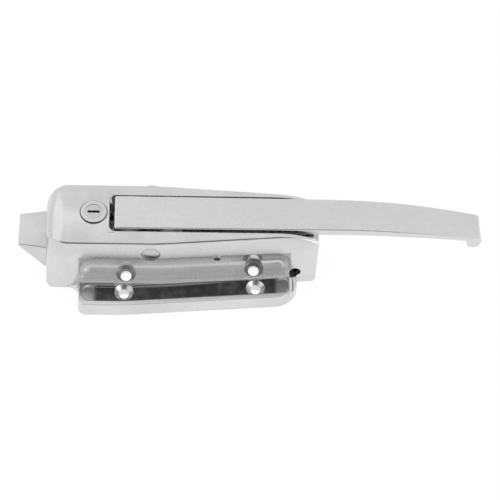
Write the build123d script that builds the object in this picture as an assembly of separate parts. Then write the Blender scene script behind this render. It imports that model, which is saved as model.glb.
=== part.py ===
from build123d import *
import os
from math import atan2, cos, degrees, hypot, radians, sin, sqrt

# Surface-mounted door latch with a long pull lever, a key lock and a spring bolt.
# It lies on its back: X runs along the lever, Y across it, Z out of the door.
# Sub-parts are drawn about the lever's centre line; save() moves them so that
# the origin is midway between the two outer mounting screws, on the back plane.
# All sizes are in millimetres.

# ---- Mounting screws -------------------------------------------------------
outer_row_half = 46.4        # half the distance between the outer screws, along X
outer_row_skew = 4.8         # how much nearer the lever the right-hand screw lies
outer_row_to_lever = 37.6    # from the middle of the outer row to the lever's centre line
inner_row_half = 45.3
inner_row_skew = 5.6
inner_row_to_lever = 22.0    # measured on the seats of the inner screws
inner_tilt = 12.0            # lean of the inner screws away from the body, degrees
screw_hole_radius = 3.8
screw_head_radius = 6.9      # countersinks and counterbores take this head
inner_seat_height = 5.5
outer_boss_wall = 1.2
inner_boss_wall = 2.2

# ---- Body casting ----------------------------------------------------------
body_left = -102.0           # at the back plane
body_left_lean = 1.2         # how much shorter the body is at the level of its face
body_right = 89.5
body_half_width = 31.2       # at the back plane
body_face_half = 24.5        # at the level of the face
body_bend = -22.0            # where the sides begin to close in
body_taper = 0.0706          # how fast each side closes in, per millimetre
body_corner_base = 6.0       # plan radius of the left-hand corners at the back plane
body_corner_face = 16.5      # and at the face
bend_radius = 160.0
wall = 3.2
face_height = 49.9           # highest line of the front face
crown_radius = 103.0         # curve of the front face across the body
face_flat_left = -89.0
face_flat_right = 60.0
left_roll_radius = 14.0
right_roll_radius = 58.0
face_edge_round = 1.8
end_edge_round = 3.5

# ---- Mounting flange -------------------------------------------------------
flange_left = -79.0
flange_right = 76.5
flange_reach = 53.6          # from the lever's centre line to the outer edge at the back plane
flange_draft = 6.0           # lean of its outer side, degrees
flange_bend = -46.0
flange_taper = 0.077
flange_height = 11.1
flange_corner_left = 6.0
flange_corner_right = 17.0
flange_hollow_overlap = 12.0  # how far the flange's hollow runs into the body's
rim_width = 4.8              # from the outer edge at the back plane to the channel
channel_width = 12.6
channel_depth = 2.6
channel_run_out = 13.0       # length of each curved end of the channel
channel_left = -75.5
channel_right = 69.5
channel_corner = 5.0

# ---- Recess in the near side wall -----------------------------------------
recess_left = -78.0
recess_right = 71.0
recess_back = 20.4           # from the lever's centre line to its deepest wall
recess_mouth = 31.0
recess_floor = 10.6
recess_top = 31.6
recess_corner = 9.0
recess_shoulder = 11.0       # rounding of its upper ends
recess_cove = 6.0

# ---- Pull lever ------------------------------------------------------------
lever_left = -53.5
lever_tip = 210.0
lever_top = 50.5
lever_half_left = 13.5
lever_half_middle = 13.1
lever_half_far = 12.6
lever_half_tip = 10.5
lever_middle_x = 97.5        # the lever starts to bend towards the door here
lever_far_x = 146.0
lever_bend_radius = 440.0
lever_thick_root = 6.5
lever_thick_far = 4.1
lever_lip_drop = 11.0
lever_lip_length = 9.5
lever_lip_round = 4.4
lever_edge_round = 0.9
lever_gap = 1.6              # between the lever and the sides of its slot
lever_end_gap = 3.6
slot_wall = 3.0
slot_floor_left = -6.0
slot_floor_top = 42.8

# ---- Pivot and drive -------------------------------------------------------
pivot_x = -27.8
pivot_z = 35.7
pivot_pin_radius = 6.35
pivot_clearance = 0.07
pivot_head_proud = 3.0
pivot_boss_radius = 9.8
hub_radius = 9.9
hub_near = 4.6               # near face of the hub, leaving room for the return spring
running_gap = 0.35
open_angle = 32.0            # travel of the lever, degrees
drive_radius = 26.0          # from the pivot to the drive pin
drive_pin_radius = 3.0
drive_pin_half = 12.7
drive_boss_radius = 5.4
web_half = 6.4
bolt_travel = 14.0

# ---- Bolt ------------------------------------------------------------------
bolt_tip = -121.0
bolt_shoulder = -97.0        # where the nose steps down to the tail
bolt_base = 2.9
bolt_top = 27.0
nose_half_body = 16.0
nose_half_tip = 12.9
nose_bevel_foot = -104.0
tail_half = 13.0
tail_top = 20.0
fork_start = -56.0
fork_gap = 7.0
crossbar_left = -12.0
crossbar_length = 6.0
bolt_clearance = 0.3
drive_slot_play = 0.5
drive_slot_height_play = 0.4

# ---- Bolt spring and its rod ----------------------------------------------
rod_radius = 2.5
rod_axis_z = 11.0
rod_left = -12.6
rod_rib_x = 42.0
rod_rib_thick = 4.0
rod_head_radius = 5.0
rod_head_thick = 2.0
seat_radius = 7.4
seat_thick = 1.2
spring_mean_radius = 5.6
spring_wire_radius = 0.8
spring_coils = 8
wire_sides = 6

# ---- Return spring ---------------------------------------------------------
return_wire_radius = 0.8
return_coils = 3
return_leg_past = 4.0       # how far the long leg runs past the stop pin
return_mean_radius = 7.3
return_pitch = 1.85
stop_pin_x = 18.6
stop_pin_z = 29.3
stop_pin_radius = 3.0

# ---- Keeper plate ----------------------------------------------------------
keeper_left = -98.5
keeper_right = -50.0
keeper_half = 24.0
keeper_left_corner = 12.0
keeper_right_corner = 4.0
keeper_base = 0.8
keeper_thick = 1.9
keeper_screw_left = -88.0
keeper_screw_right = -56.0
keeper_screw_half = 20.7
keeper_screw_radius = 2.0
keeper_screw_length = 6.5
keeper_boss_radius = 4.2

# ---- Guide ribs ------------------------------------------------------------
front_rib_x = -80.0
rear_rib_x = -50.0
rib_thick = 3.0
front_rib_top = 30.0
rear_rib_top = 26.5

# ---- Set screw -------------------------------------------------------------
set_screw_x = 74.5
set_screw_z = 10.8
set_screw_radius = 4.0
set_screw_length = 9.0
set_screw_socket = 4.0       # across flats
set_screw_depth = 1.6        # below the wall's outer face
set_screw_boss = 6.6

# ---- Key lock --------------------------------------------------------------
lock_x = -68.0
lock_head_radius = 9.5
lock_head_thick = 1.5
lock_head_top = 50.5
lock_body_radius = 8.0
lock_body_bottom = 28.2
lock_boss_radius = 11.2
plug_radius = 6.0
plug_clearance = 0.08
plug_top_drop = 0.3
keyway_length = 8.4
keyway_width = 1.9
keyway_depth = 20.0
wafer_count = 5
wafer_pitch = 3.0
wafer_thick = 1.0
wafer_length = 9.8
wafer_width = 6.2
nut_flats = 19.0
nut_thick = 3.4
cam_thick = 2.0
cam_hub_radius = 7.6
cam_reach = 14.0
cam_arm_width = 9.0
cam_square = 6.0
cam_screw_head_radius = 4.2
cam_screw_head_thick = 2.0
cam_screw_radius = 1.7
cam_screw_length = 7.0
cam_washer_radius = 5.0
cam_washer_thick = 0.6

# ---- Worked-out sizes ------------------------------------------------------
half_swing = radians(open_angle / 2)
drive_pin_x = pivot_x - drive_radius * sin(half_swing)
drive_pin_z = pivot_z - drive_radius * cos(half_swing)
slot_half = lever_half_left + lever_gap
slot_left = lever_left - lever_end_gap
lock_seat = lock_head_top - lock_head_thick
lock_boss_bottom = slot_floor_top - wall


def tidy(shape, name):
    """Return one clean part or a group of separate solids with a label."""
    result = Part() + shape
    result.label = name
    return result


def save(name, shape):
    """Move a sub-part into the mounting frame and write its STEP file."""
    os.makedirs("parts", exist_ok=True)
    moved = Pos(0, outer_row_to_lever, 0) * shape
    moved.label = name
    export_step(moved, f"parts/{name}.step")


def rod_y(radius, y_from, y_to, x, z):
    """Round bar along Y between two heights of Y."""
    length = y_to - y_from
    return Pos(x, (y_from + y_to) / 2, z) * Rot(90, 0, 0) * Cylinder(radius, length)


def rod_x(radius, x_from, x_to, y, z):
    """Round bar along X."""
    return Pos((x_from + x_to) / 2, y, z) * Rot(0, 90, 0) * Cylinder(radius, x_to - x_from)


def rod_z(radius, z_from, z_to, x, y):
    """Round bar along Z."""
    return Pos(x, y, (z_from + z_to) / 2) * Cylinder(radius, z_to - z_from)


def block(x, y, z):
    """Box between pairs of limits along X, Y and Z."""
    sizes = [pair[1] - pair[0] for pair in (x, y, z)]
    middle = [(pair[0] + pair[1]) / 2 for pair in (x, y, z)]
    return Pos(*middle) * Box(*sizes)


# ---- Body casting ----------------------------------------------------------
def side_at(x, half, bend, taper):
    """Distance from the lever's centre line to a side that closes in past its bend."""
    return half - taper * max(0.0, x - bend)


def body_plan(half, left, right, corner):
    """Outline of the body at one level."""
    end = half - body_taper * (right - body_bend)
    points = [(left, -half), (body_bend, -half), (right, -end)]
    points += [(x, -y) for x, y in reversed(points)]
    face = make_face(Polyline(*points, close=True))
    face = fillet(face.vertices().sort_by(Axis.X)[:2], corner)
    bends = [v for v in face.vertices() if abs(v.X - body_bend) < 0.01]
    return fillet(bends, bend_radius)


def wall_half(height):
    """Half-width of the straight part of the body at a height above the back plane."""
    return body_half_width - (body_half_width - body_face_half) * height / face_height


def side_wall(x, height):
    """Distance from the lever's centre line to a side wall's outer face."""
    return side_at(x, wall_half(height), body_bend, body_taper)


def face_surface(drop):
    """Crowned front face that rolls down at both ends, lowered by the drop."""
    top = face_height - drop
    left_radius = left_roll_radius - drop
    right_radius = right_roll_radius - drop
    left_plane = Plane((face_flat_left, 0, top - left_radius), x_dir=(1, 0, 0), z_dir=(0, -1, 0))
    right_plane = Plane((face_flat_right, 0, top - right_radius), x_dir=(1, 0, 0), z_dir=(0, -1, 0))
    spine = Wire([
        Edge.make_circle(left_radius, left_plane, 90, 170),
        Edge.make_line((face_flat_left, 0, top), (face_flat_right, 0, top)),
        Edge.make_circle(right_radius, right_plane, 40, 90),
    ])
    start = Plane(spine @ 0, x_dir=(0, 1, 0), z_dir=spine % 0)
    outward = start.y_dir if start.y_dir.Z > 0 else start.y_dir * -1
    centre = spine @ 0 - outward * crown_radius
    section_plane = Plane(centre, x_dir=(0, 1, 0), z_dir=start.z_dir)
    lift = 90 if section_plane.y_dir.Z > 0 else 270
    section = Edge.make_circle(crown_radius, section_plane, lift - 25, lift + 25)
    return Shell.sweep(section, spine)


def crowned_block(inset, drop):
    """Tapered body block under the crowned front face."""
    right = body_right - inset
    top = face_height * 1.1
    lean = body_left_lean * top / face_height
    corner_rate = (body_corner_face - body_corner_base) / face_height
    base = body_plan(wall_half(0) - inset, body_left + inset, right + 10, max(body_corner_base - inset, 3.0))
    high = body_plan(wall_half(top) - inset, body_left + inset + lean, right + 10,
                     body_corner_base + corner_rate * top - inset)
    block_up = loft([base, Pos(0, 0, top) * high], ruled=True)
    below = split(block_up, bisect_by=face_surface(drop), keep=Keep.BOTH)
    lower = below.solids().sort_by(Axis.Z)[0]
    return Part() + lower - block((right, right + 60), (-90, 90), (-5, 90))


def flange_edge(inset):
    """Points along the flange's outer side, from left to right."""
    reach = flange_reach - inset
    right = flange_right - inset
    end = side_at(right, reach, flange_bend, flange_taper)
    return [(flange_left + inset, -reach), (flange_bend, -reach), (right, -end)]


def flange_plan(inset):
    """Outline of the mounting flange, running under the body."""
    outer = flange_edge(inset)
    points = outer + [(outer[-1][0], 0), (outer[0][0], 0)]
    face = make_face(Polyline(*points, close=True))
    near = face.vertices().sort_by(Axis.Y)
    left = [v for v in near if abs(v.X - outer[0][0]) < 0.01][:1]
    face = fillet(left, max(flange_corner_left - inset, 1.5))
    right = [v for v in face.vertices().sort_by(Axis.Y) if abs(v.X - outer[-1][0]) < 0.01][:1]
    face = fillet(right, flange_corner_right - inset)
    bend = [v for v in face.vertices() if abs(v.X - flange_bend) < 0.01]
    return fillet(bend, bend_radius)


def channel_cut():
    """Long tray sunk in the flange, with a floor that curves up at both ends."""
    floor = flange_height - channel_depth
    over = flange_height + 0.02
    lines = [
        Line((channel_left + channel_run_out, floor), (channel_right - channel_run_out, floor)),
        TangentArc((channel_right - channel_run_out, floor), (channel_right, over), tangent=(1, 0)),
        Polyline((channel_right, over), (channel_right, over + 5), (channel_left, over + 5),
                 (channel_left, over)),
        TangentArc((channel_left + channel_run_out, floor), (channel_left, over), tangent=(-1, 0)),
    ]
    side_view = Plane.XZ * make_face(Curve() + lines)
    depth = extrude(side_view, amount=70)
    outer = flange_reach - rim_width
    inner = outer - channel_width
    plan_points = []
    for reach in (outer, inner):
        row = [(x, -side_at(x, reach, flange_bend, flange_taper))
               for x in (channel_left, flange_bend, channel_right)]
        plan_points += row if reach == outer else row[::-1]
    plan = make_face(Polyline(*plan_points, close=True))
    corners = [v for v in plan.vertices() if abs(v.X - flange_bend) > 1]
    plan = fillet(corners, channel_corner)
    plan = fillet([v for v in plan.vertices() if abs(v.X - flange_bend) < 0.01], bend_radius)
    return depth & extrude(plan, amount=flange_height + 6)


def recess_block(grow):
    """Hollow in the near side wall; the grow value adds the wall behind it."""
    left, right = recess_left - grow, recess_right + grow
    back = recess_back - grow
    mouth = recess_mouth + (60 if grow else 0)
    top, floor = recess_top + grow, recess_floor - grow
    inner = [(x, -side_at(x, back, body_bend, body_taper)) for x in (left, body_bend, right)]
    outer = [(x, -side_at(x, mouth, body_bend, body_taper)) for x in (right, body_bend, left)]
    plan = make_face(Polyline(*(inner + outer), close=True))
    ends = [v for v in plan.vertices() if abs(v.X - body_bend) > 1]
    ends = sorted(ends, key=lambda v: -v.Y)[:3]
    ends = [v for v in ends if v.Y > -mouth + 8]
    plan = fillet(ends, recess_corner + grow)
    solid = extrude(Pos(0, 0, floor) * plan, amount=top - floor)
    view = make_face(Polyline((left, floor), (right, floor), (right, top), (left, top), close=True))
    view = fillet(view.vertices().sort_by(Axis.Y)[-2:], recess_shoulder + grow)
    solid = solid & extrude(Plane.XZ * view, amount=150, both=True)
    if grow:
        return solid
    low = [e for e in solid.edges() if abs(e.center().Z - floor) < 0.01]
    low = [e for e in low if e.center().Y > -side_at(e.center().X, mouth, body_bend, body_taper) + 1.0]
    return fillet(low, recess_cove)


def screw_places(half, skew, reach):
    """Left and right positions of a pair of mounting screws."""
    return [(-half, -reach - skew / 2), (half, -reach + skew / 2)]


def tilted(x, y, z):
    """Location on an inner screw's seat, with Z along the leaning screw."""
    return Pos(x, y, z) * Rot(inner_tilt, 0, 0)


def lever_slot():
    """Opening for the lever, through the face at the heel and floored beyond it."""
    high = face_height + 10
    heel = block((slot_left, slot_floor_left), (-slot_half, slot_half), (5, high))
    tray = block((slot_floor_left - 1, body_right + 5), (-slot_half, slot_half), (slot_floor_top, high))
    return heel, tray


def body_edges_rounded(shell):
    """Round the rim of the front face and the corners of the plain right-hand end."""
    corner = [e for e in shell.edges().filter_by(GeomType.LINE)
              if abs(e.center().X - body_right) < 0.01 and e.length > 20]
    shell = fillet(corner, end_edge_round)
    rim = [e for e in shell.edges() if e.center().Z > 38 and e.length > 1
           and abs(e.center().Y) > 1 and not crosses_face(e)]
    return fillet(rim, face_edge_round)


def crosses_face(edge):
    """True for a seam that runs across the front face or down a side wall."""
    start, end = edge @ 0, edge @ 1
    across = start.Y * end.Y < 0 and abs(start.X - end.X) < 1
    return across or abs(start.Z - end.Z) > 25


def flange_solid():
    """Flange with its channel, rims and rounded outer edge."""
    return extrude(flange_plan(0), amount=flange_height, taper=flange_draft) - channel_cut()


def shell_cavity():
    """Space inside the casting, open at the back plane."""
    inner = crowned_block(wall, wall) - recess_block(wall)
    pad = flange_plan(wall)
    low = flange_height - channel_depth - wall
    inner += extrude(pad, amount=low) & block((-200, 200), (-90, -body_half_width + wall + flange_hollow_overlap), (-1, low))
    heights = (slot_floor_top - wall, face_height + 5)
    sides = (-slot_half - slot_wall, slot_half + slot_wall)
    inner -= block((slot_left - slot_wall, body_right), sides, heights)
    inner -= rod_z(lock_boss_radius, lock_boss_bottom, face_height + 5, lock_x, 0)
    return inner


def guide_rib(x, top, thick):
    """Web across the cavity."""
    return block((x, x + thick), (-body_half_width, body_half_width), (keeper_base + keeper_thick, top))


def outer_screw_bosses():
    """Posts that carry the outer screws down to the back plane."""
    return [rod_z(screw_head_radius + outer_boss_wall, 0, flange_height - channel_depth, x, y)
            for x, y in screw_places(outer_row_half, outer_row_skew, outer_row_to_lever)]


def inner_screw_bosses():
    """Leaning seats of the inner screws, kept clear of the keeper plate."""
    low = keeper_base + keeper_thick + running_gap
    room = block((-200, 200), (-90, 90), (low, recess_floor))
    height = recess_floor - inner_seat_height + wall
    post = Pos(0, 0, height / 2 - wall) * Cylinder(screw_head_radius + inner_boss_wall, height)
    return [tilted(x, y, inner_seat_height) * post & room
            for x, y in screw_places(inner_row_half, inner_row_skew, inner_row_to_lever)]


def screw_cuts():
    """Countersunk outer holes and counterbored inner holes."""
    cuts = []
    seat = flange_height - channel_depth
    cone = screw_head_radius - screw_hole_radius
    for x, y in screw_places(outer_row_half, outer_row_skew, outer_row_to_lever):
        cuts.append(rod_z(screw_hole_radius, -2, seat + 5, x, y))
        sink = Cone(screw_hole_radius, screw_head_radius, cone * 0.8)
        cuts.append(Pos(x, y, seat - cone * 0.4) * sink)
        cuts.append(rod_z(screw_head_radius, seat, seat + 8, x, y))
    for x, y in screw_places(inner_row_half, inner_row_skew, inner_row_to_lever):
        head = Pos(0, 0, 7.5) * Cylinder(screw_head_radius, 15)
        hole = Cylinder(screw_hole_radius, 14)
        cuts.append(tilted(x, y, inner_seat_height) * (head + hole))
    return cuts


def pivot_bosses():
    """Bearing bosses for the pivot pin on both side walls."""
    inner = slot_half - 0.6
    return [rod_y(pivot_boss_radius, sign[0], sign[1], pivot_x, pivot_z)
            for sign in ((-body_half_width, -inner), (inner, body_half_width))]


def keeper_places():
    """Positions of the keeper plate's screws."""
    return [(x, side * keeper_screw_half)
            for x in (keeper_screw_left, keeper_screw_right) for side in (-1, 1)]


def inner_features():
    """Ribs and bosses that stand inside the shell, before they are trimmed to it."""
    top = keeper_base + keeper_thick
    features = [guide_rib(front_rib_x, front_rib_top, rib_thick)]
    features.append(guide_rib(rear_rib_x, rear_rib_top, rib_thick))
    features.append(guide_rib(rod_rib_x, slot_floor_top, rod_rib_thick))
    for x, y in keeper_places():
        features.append(rod_z(keeper_boss_radius, top, face_height, x, y))
    features += pivot_bosses()
    for side in (-1, 1):
        half = side_at(stop_pin_x, body_half_width, body_bend, body_taper)
        ends = sorted((side * half, side * (half - 9.0)))
        features.append(rod_y(stop_pin_radius + 2.6, ends[0], ends[1], stop_pin_x, stop_pin_z))
    near = side_at(set_screw_x, body_half_width, body_bend, body_taper)
    features.append(rod_y(set_screw_boss, -near, -near + wall + set_screw_length, set_screw_x, set_screw_z))
    return features


def bolt_passage():
    """Ways for the bolt's nose and tail through the end wall and the ribs."""
    gap = bolt_clearance
    nose = block((body_left - 5, front_rib_x - 1.5), (-nose_half_body - gap, nose_half_body + gap),
                 (-1, bolt_top + gap))
    tail = block((front_rib_x - 2, rod_rib_x - 2), (-tail_half - gap, tail_half + gap), (-1, tail_top + gap))
    return nose, tail


def body_casting():
    """Hollow die-cast body with its flange, ribs, bosses and openings."""
    outer = body_edges_rounded(crowned_block(0, 0)) + flange_solid() - recess_block(0)
    casting = outer - shell_cavity()
    trim = crowned_block(wall / 2, wall / 2) + extrude(flange_plan(wall), amount=flange_height / 2)
    trim -= recess_block(wall / 2)
    for feature in inner_features():
        casting += feature & trim
    for boss in outer_screw_bosses() + inner_screw_bosses():
        casting += boss
    heel, tray = lever_slot()
    for cut in (tray, heel_sweep(heel), *bolt_passage(), *screw_cuts()):
        casting -= cut
    casting -= rod_y(pivot_pin_radius + pivot_clearance, -60, 60, pivot_x, pivot_z)
    casting -= rod_y(stop_pin_radius, -60, 60, stop_pin_x, stop_pin_z)
    casting -= rod_y(set_screw_radius, -60, 0, set_screw_x, set_screw_z)
    casting -= rod_x(rod_radius, rod_rib_x - 5, rod_rib_x + rod_rib_thick + 5, 0, rod_axis_z)
    casting -= rod_z(lock_body_radius + 0.1, 20, 80, lock_x, 0)
    casting -= rod_z(lock_head_radius + 0.15, lock_seat, 80, lock_x, 0)
    for x, y in keeper_places():
        depth = keeper_screw_length - keeper_thick + 0.5
        casting -= rod_z(keeper_screw_radius, 0, keeper_base + keeper_thick + depth, x, y)
    return tidy(casting, "body_casting")


def heel_sweep(heel):
    """Slot over the lever's heel, kept clear down to the pivot bosses."""
    return heel & block((slot_left, slot_floor_left), (-slot_half, slot_half), (slot_floor_top - 16, 90))


# ---- Pull lever ------------------------------------------------------------
def lever_side_view():
    """Closed side view of the lever blade with its turned-down lip."""
    top = JernArc((lever_middle_x, lever_top), (1, 0), lever_bend_radius, -lever_sweep())
    tip = top @ 1
    along = top % 1
    down = Vector(along.Y, -along.X)
    corner = tip + down * lever_lip_drop
    inner_low = corner - along * lever_lip_length
    root = inner_low - down * (lever_lip_drop - lever_thick_far)
    pieces = [
        Line((lever_left, lever_top), (lever_middle_x, lever_top)), top,
        Line(tip, corner), Line(corner, inner_low), Line(inner_low, root),
        TangentArc((lever_middle_x, lever_top - lever_thick_root), root, tangent=(1, 0)),
        Line((lever_middle_x, lever_top - lever_thick_root), (lever_left, lever_top - lever_thick_root)),
        Line((lever_left, lever_top - lever_thick_root), (lever_left, lever_top)),
    ]
    face = make_face(Curve() + pieces)
    face = fillet(vertices_at(face, corner, inner_low, tip), lever_lip_round)
    return fillet(vertices_at(face, root), lever_lip_round / 2)


def vertices_at(face, *points):
    """Corners of a flat face that lie on the given points."""
    return [v for v in face.vertices()
            if any(hypot(v.X - p.X, v.Y - p.Y) < 0.05 for p in points)]


def lever_sweep():
    """Angle of the blade's bend, so that it ends at the lever's tip."""
    return degrees(atan2(lever_tip - lever_middle_x, lever_bend_radius))


def lever_height_at(x):
    """Height of the blade's outer face past the start of its bend."""
    run = x - lever_middle_x
    return lever_top - lever_bend_radius + sqrt(lever_bend_radius ** 2 - run ** 2)


def lever_blade():
    """Tapered blade: its side view crossed with its plan."""
    side = extrude(Plane.XZ * lever_side_view(), amount=30, both=True)
    halves = [(lever_left, lever_half_left), (lever_middle_x, lever_half_middle),
              (lever_far_x, lever_half_far), (lever_tip + 1, lever_half_tip)]
    points = [(x, -y) for x, y in halves] + [(x, y) for x, y in reversed(halves)]
    plan = make_face(Polyline(*points, close=True))
    tip = plan.vertices().sort_by(Axis.X)[-2:]
    plan = fillet(tip, 3.0)
    heel = plan.vertices().sort_by(Axis.X)[:2]
    plan = fillet(heel, 1.5)
    return side & extrude(plan, amount=80)


def lever_heel():
    """Hub round the pivot pin with the drive web under it."""
    hub = rod_y(hub_radius, -hub_near, lever_half_left - 0.4, pivot_x, pivot_z)
    circles = Sketch() + [
        Pos(pivot_x, pivot_z) * Circle(hub_radius - 1.5),
        Pos(drive_pin_x, drive_pin_z) * Circle(drive_boss_radius),
    ]
    web = extrude(Plane.XZ * make_hull(circles.edges()), amount=web_half, both=True)
    web -= block((-100, 100), (-web_half - 1, -hub_near), (pivot_z - hub_radius + 1, 90))
    bridge = block((pivot_x - hub_radius * 0.8, pivot_x + hub_radius * 0.8), (-hub_near, lever_half_left - 0.4),
                   (pivot_z, lever_top - lever_thick_root + 0.5))
    return hub + web + bridge


def lever_handle():
    """One-piece pull lever with its heel, bored for the pivot and drive pins."""
    blade = lever_blade()
    rim = [e for e in blade.edges() if e.center().Z > lever_height_at(lever_tip) - 2
           and on_outer_face(e)]
    blade = fillet(rim, lever_edge_round)
    solid = blade + lever_heel()
    solid -= rod_y(pivot_pin_radius + pivot_clearance, -40, 40, pivot_x, pivot_z)
    solid -= rod_y(drive_pin_radius, -40, 40, drive_pin_x, drive_pin_z)
    return tidy(solid, "lever_handle")


def on_outer_face(edge):
    """True where an edge lies on the lever's outer face, clear of the lip."""
    for part in (0.1, 0.5, 0.9):
        point = edge @ part
        if point.X > lever_tip - lever_lip_round - 1:
            return False
        height = lever_top if point.X < lever_middle_x else lever_height_at(point.X)
        if abs(point.Z - height) > 0.05:
            return False
    return edge.center().X < lever_left + 1 or abs(edge.center().Y) > 1


# ---- Pins ------------------------------------------------------------------
def pivot_pin():
    """Pin through both side walls, flush on the near side and domed on the far one."""
    near = side_wall(pivot_x, pivot_z) - 0.4
    far = near + 0.4 + pivot_head_proud
    pin = rod_y(pivot_pin_radius, -near, far, pivot_x, pivot_z)
    ends = pin.edges().filter_by(GeomType.CIRCLE).sort_by(Axis.Y)
    pin = chamfer(ends[-1], 1.2)
    return tidy(chamfer(pin.edges().filter_by(GeomType.CIRCLE).sort_by(Axis.Y)[0], 0.5), "pivot_pin")


def stop_pin():
    """Cross pin that the return spring's long leg bears on."""
    half = side_wall(stop_pin_x, stop_pin_z)
    pin = rod_y(stop_pin_radius, -half - 0.2, half - 0.3, stop_pin_x, stop_pin_z)
    return tidy(chamfer(pin.edges().filter_by(GeomType.CIRCLE).sort_by(Axis.Y)[0], 0.5), "stop_pin")


def drive_pin():
    """Hardened cross pin in the web, with an end in each arm of the bolt."""
    pin = rod_y(drive_pin_radius, -drive_pin_half, drive_pin_half, drive_pin_x, drive_pin_z)
    return tidy(chamfer(pin.edges().filter_by(GeomType.CIRCLE), 0.4), "drive_pin")


# ---- Bolt ------------------------------------------------------------------
def trigger_bolt():
    """Bevelled nose, slab tail and two slotted arms joined by a crossbar."""
    view = make_face(Polyline((bolt_tip, bolt_top), (bolt_shoulder, bolt_top), (bolt_shoulder, bolt_base),
                              (nose_bevel_foot, bolt_base), (bolt_tip, bolt_top - 2.5), close=True))
    view = fillet(view.vertices().sort_by(Axis.X)[:2], 0.9)
    nose = extrude(Plane.XZ * view, amount=30, both=True)
    points = [(bolt_tip, -nose_half_tip), (-100.0, -nose_half_body), (bolt_shoulder, -nose_half_body)]
    plan = make_face(Polyline(*(points + [(x, -y) for x, y in reversed(points)]), close=True))
    nose &= extrude(plan, amount=bolt_top + 5)
    tail = block((bolt_shoulder - 1, crossbar_left + crossbar_length), (-tail_half, tail_half), (bolt_base, tail_top))
    bolt = nose + tail
    bolt -= block((fork_start, crossbar_left), (-fork_gap, fork_gap), (0, 30))
    bolt -= drive_slots()
    bolt -= rod_x(rod_radius + 0.3, crossbar_left - 2, crossbar_left + crossbar_length + 2, 0, rod_axis_z)
    return tidy(bolt, "trigger_bolt")


def drive_slots():
    """Slots in the arms, long enough for the bolt to be pushed in by itself."""
    right = drive_pin_x + drive_pin_radius + drive_slot_play
    left = drive_pin_x - drive_pin_radius - drive_slot_play - bolt_travel
    rise = drive_pin_z - (pivot_z - drive_radius)
    low = drive_pin_z - rise - drive_pin_radius - drive_slot_height_play
    high = drive_pin_z + drive_pin_radius + drive_slot_height_play
    slot = block((left, right), (-tail_half - 1, tail_half + 1), (low, high))
    return fillet(slot.edges().filter_by(Axis.Y), 2.2)


# ---- Springs and rod -------------------------------------------------------
def wire_section(radius):
    """Section of spring wire, with a few flats in place of its round."""
    return RegularPolygon(radius, wire_sides)


def bolt_spring():
    """Compression spring between the crossbar and its seat on the rod's rib."""
    start = crossbar_left + crossbar_length + spring_wire_radius + 0.15
    end = rod_rib_x - seat_thick - spring_wire_radius - 0.15
    length = end - start
    path = Helix(pitch=length / spring_coils, height=length, radius=spring_mean_radius)
    section = Plane(path @ 0, z_dir=path % 0) * wire_section(spring_wire_radius)
    wire = sweep(section, path=path, is_frenet=True)
    return tidy(Pos(start, 0, rod_axis_z) * Rot(0, 90, 0) * wire, "bolt_spring")


def spring_rod():
    """Headed rod fixed in its rib; the crossbar slides on its free end."""
    rod = rod_x(rod_radius, rod_left, rod_rib_x + rod_rib_thick + rod_head_thick, 0, rod_axis_z)
    head = rod_x(rod_head_radius, rod_rib_x + rod_rib_thick, rod_rib_x + rod_rib_thick + rod_head_thick, 0,
                 rod_axis_z)
    solid = rod + head
    return tidy(chamfer(solid.edges().filter_by(GeomType.CIRCLE).sort_by(Axis.X)[0], 0.8), "spring_rod")


def spring_seat():
    """Washer that carries the spring against the rib."""
    ring = rod_x(seat_radius, rod_rib_x - seat_thick, rod_rib_x, 0, rod_axis_z)
    return tidy(ring - rod_x(rod_radius + 0.2, rod_rib_x - 5, rod_rib_x + 5, 0, rod_axis_z), "spring_seat")


def return_spring():
    """Torsion spring round the pivot pin: long leg under the stop pin, short leg under the heel."""
    touch = stop_pin_radius + return_wire_radius + 0.15
    run = stop_pin_x - pivot_x
    drop = pivot_z - stop_pin_z + touch
    reach = sqrt(run ** 2 + drop ** 2 - return_mean_radius ** 2)
    slope = atan2(-drop, run) + atan2(return_mean_radius, reach)
    turns = return_coils + (radians(90) + slope) / radians(360)
    first_y = -hub_near - return_wire_radius - running_gap
    start = (sin(slope), 0, -cos(slope))
    place = Plane((pivot_x, first_y, pivot_z), x_dir=start, z_dir=(0, -1, 0))
    path = place * Helix(pitch=return_pitch, height=return_pitch * turns, radius=return_mean_radius, lefthand=True)
    wire = wire_section(return_wire_radius)
    spring = sweep(Plane(path @ 0, z_dir=path % 0) * wire, path=path, is_frenet=True)
    long_leg = Plane(path @ 0, z_dir=(cos(slope), 0, sin(slope)))
    spring += extrude(long_leg * wire, amount=reach + return_leg_past)
    rise = lever_top - lever_thick_root - pivot_z - 0.4
    spring += extrude(Plane(path @ 1, z_dir=(0, 0, 1)) * wire, amount=rise)
    return tidy(spring, "return_spring")


# ---- Keeper plate ----------------------------------------------------------
def keeper_plate():
    """Pressed plate that closes the bolt's channel at the back."""
    top = keeper_base + keeper_thick
    plate = block((keeper_left, keeper_right), (-keeper_half, keeper_half), (keeper_base, top))
    corners = plate.edges().filter_by(Axis.Z).sort_by(Axis.X)
    plate = fillet(corners[:2], keeper_left_corner)
    plate = fillet(plate.edges().filter_by(Axis.Z).sort_by(Axis.X)[-2:], keeper_right_corner)
    for x, y in keeper_places():
        plate -= rod_z(keeper_screw_radius + 0.15, 0, 10, x, y)
        plate -= Pos(x, y, keeper_base + 0.8) * Cone(keeper_screw_radius * 2 - 0.2, keeper_screw_radius + 0.15, 1.6)
    return tidy(plate, "keeper_plate")


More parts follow.
